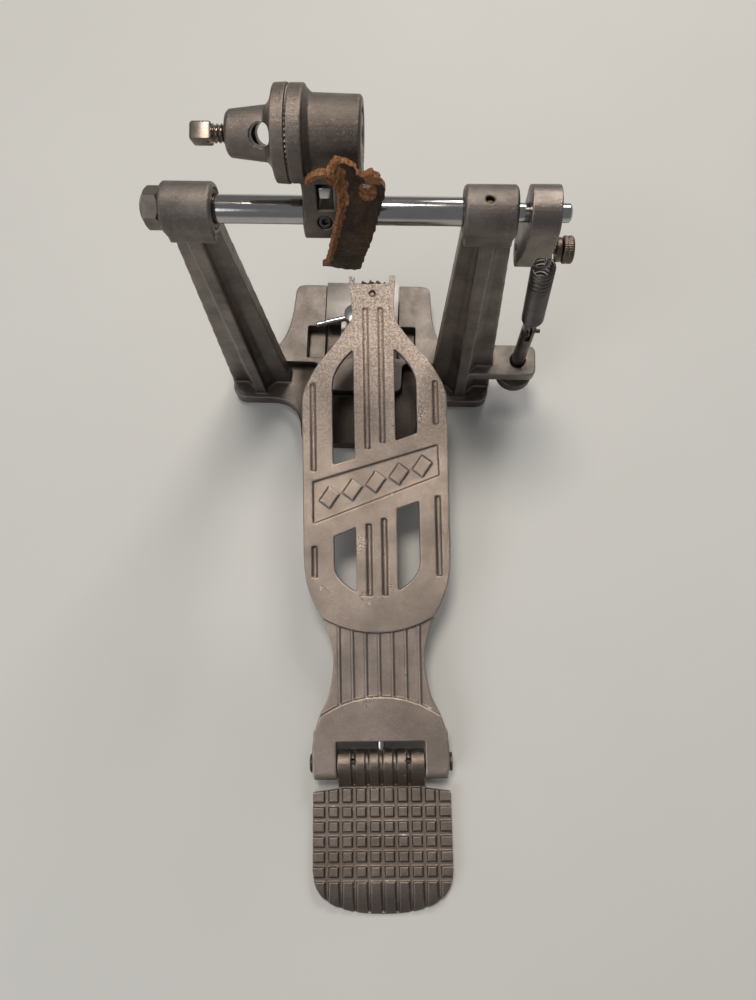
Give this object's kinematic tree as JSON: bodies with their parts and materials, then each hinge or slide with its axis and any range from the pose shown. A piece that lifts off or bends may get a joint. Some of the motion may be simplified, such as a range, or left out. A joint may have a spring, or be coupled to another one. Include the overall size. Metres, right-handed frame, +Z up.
{
  "type": "bass drum pedal",
  "caption": "Cast bass drum pedal with two posts, a shaft with an adjustable beater clutch, a side return spring, a hoop clamp and a hinged footboard on a heel plate, its strap torn.",
  "frame": {"origin": "on the floor, on the base's underside, straight below the middle of the shaft's axis", "axes": "+X to the player's right along the shaft, +Y from the heel towards the drum, +Z up"},
  "size_m": [0.1552, 0.3065, 0.1951],
  "materials": {
    "cast_aluminium": "aged sand-cast aluminium, satin, slightly warm grey",
    "bright_steel": "polished steel",
    "dark_steel": "dull, darkened steel",
    "bronze": "dull sintered bronze",
    "leather": "dry, dark brown leather with torn tan edges"
  },
  "bodies": {
    "frame": {"frame_casting": "cast_aluminium", "left_bushing": "bronze", "right_bushing": "bronze", "left_bearing_screw": "dark_steel", "left_lock_nut": "dark_steel", "jaw_pin": "dark_steel", "swivel_screw": "dark_steel"},
    "beater_shaft": {"shaft": "bright_steel", "beater_hub": "cast_aluminium", "hub_set_screw": "dark_steel", "strap_screw": "bright_steel", "strap_nut": "bright_steel", "leather_strap": "leather", "clutch_bolt": "dark_steel", "spring_crank": "cast_aluminium", "crank_set_screw": "dark_steel", "crank_pin_screw": "dark_steel", "spring_retainer_washer": "dark_steel"},
    "clutch": {"clutch_cap": "cast_aluminium"},
    "beater_lock": {"beater_screw": "bright_steel"},
    "spring_anchor": {"tension_rod": "dark_steel", "rod_cross_pin": "dark_steel"},
    "tension_wheel": {"tension_nut": "dark_steel"},
    "spring_lower": {"spring_hook": "dark_steel", "spring_coil": "dark_steel"},
    "spring_upper": {"spring_eye": "dark_steel"},
    "hoop_screw": {"clamp_screw": "bright_steel", "clamp_bar": "bright_steel"},
    "hoop_jaw": {"clamp_jaw": "bright_steel"},
    "heel": {"heel_plate": "cast_aluminium", "radius_rod": "bright_steel", "hinge_pin": "dark_steel", "hinge_pin_nut": "dark_steel"},
    "board": {"footboard": "cast_aluminium", "strap_stub": "leather", "strap_plate": "bright_steel", "toe_screw": "dark_steel"}
  },
  "joints": [
    {"name": "beater_swing", "type": "hinge", "parent": "frame", "child": "beater_shaft", "pos_m": [0, 0, 0.155], "axis": [-1, 0, 0], "range_deg": [0, 50], "stiffness_Nm_per_rad": 1},
    {"name": "clutch_angle", "type": "hinge", "parent": "beater_shaft", "child": "clutch", "pos_m": [-0.0175, 0.00934, 0.18065], "axis": [1, 0, 0], "range_deg": [-60, 60]},
    {"name": "beater_screw_travel", "type": "slide", "parent": "clutch", "child": "beater_lock", "axis": [1, 0, 0], "range_m": [0, 0.004]},
    {"name": "tension_nut_turn", "type": "hinge", "parent": "frame", "child": "tension_wheel", "pos_m": [0.078, 0, 0.02], "axis": [0, 0, 1], "range_deg": [0, 425.3]},
    {"name": "tension_rod_travel", "type": "slide", "parent": "frame", "child": "spring_anchor", "axis": [0, 0, 1], "range_m": [0, 0.0015]},
    {"name": "spring_lean", "type": "hinge", "parent": "spring_anchor", "child": "spring_lower", "pos_m": [0.078, 0, 0.066], "axis": [1, 0, 0], "range_deg": [0, 13.1]},
    {"name": "spring_stretch", "type": "slide", "parent": "spring_lower", "child": "spring_upper", "axis": [0, 0, 1], "range_m": [0, 0.0101], "deforming": ["spring_coil"]},
    {"name": "clamp_screw_turn", "type": "hinge", "parent": "frame", "child": "hoop_screw", "pos_m": [-0.003, 0.026, 0.026], "axis": [0, 0, 1], "range_deg": [0, 484]},
    {"name": "jaw_tilt", "type": "hinge", "parent": "frame", "child": "hoop_jaw", "pos_m": [0, 0.033, 0.0115], "axis": [1, 0, 0], "range_deg": [0, 14]},
    {"name": "heel_swing", "type": "hinge", "parent": "frame", "child": "heel", "pos_m": [0.0089, -0.02, 0.0085], "axis": [0, 0, 1], "range_deg": [-2.5, 2]},
    {"name": "footboard_tilt", "type": "hinge", "parent": "heel", "child": "board", "pos_m": [0.01696, -0.19081, 0.0085], "axis": [0.9989, 0.0471, 0], "range_deg": [0, 18]}
  ],
  "couplings": [
    {"joint": "tension_nut_turn", "follows": "tension_rod_travel", "rad_per_m": 4947.4},
    {"joint": "spring_lean", "follows": "beater_swing", "ratio": 0.2604},
    {"joint": "spring_stretch", "follows": "beater_swing", "m_per_rad": 0.011464},
    {"joint": "jaw_tilt", "follows": "clamp_screw_turn", "ratio": 0.0289}
  ]
}
